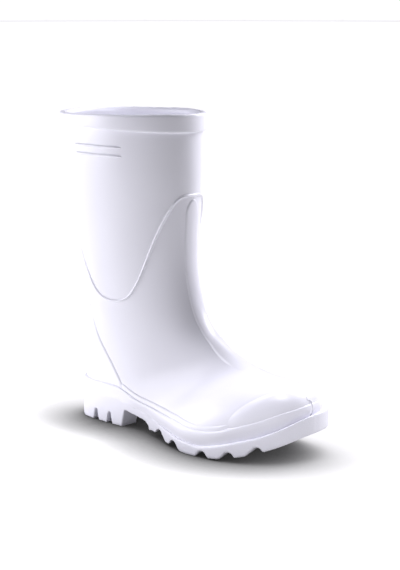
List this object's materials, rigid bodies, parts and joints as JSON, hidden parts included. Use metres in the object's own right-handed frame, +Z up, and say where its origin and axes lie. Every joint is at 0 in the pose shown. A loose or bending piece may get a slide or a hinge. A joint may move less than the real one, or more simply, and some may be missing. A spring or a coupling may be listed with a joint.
{
  "type": "rubber boot",
  "caption": "Right moulded rubber boot with a wide open shaft, hollow upper, cleated outsole with raised heel, foot band, toe cap, front strip, piping and collar band.",
  "frame": {"origin": "on the floor under the middle of the boot's box", "axes": "+X towards the toe, +Y towards the wearer's left, which is the inner side of this right boot, +Z up"},
  "size_m": [0.3196, 0.12, 0.3171],
  "materials": {
    "upper": "smooth semi-gloss moulded white",
    "trim": "smooth semi-gloss moulded white",
    "sole": "satin moulded white",
    "insole": "matt woven cloth over foam"
  },
  "bodies": {
    "root": {"upper": "upper", "outsole": "sole", "insole": "insole", "rand": "trim", "toe_cap": "trim", "heel_rib": "trim", "foot_strip_outer": "trim", "foot_strip_inner": "trim", "front_panel": "trim", "shaft_piping": "trim", "collar_band": "trim", "grip_rib_outer_1": "trim", "grip_rib_outer_2": "trim", "grip_rib_inner_1": "trim", "grip_rib_inner_2": "trim"}
  },
  "joints": []
}
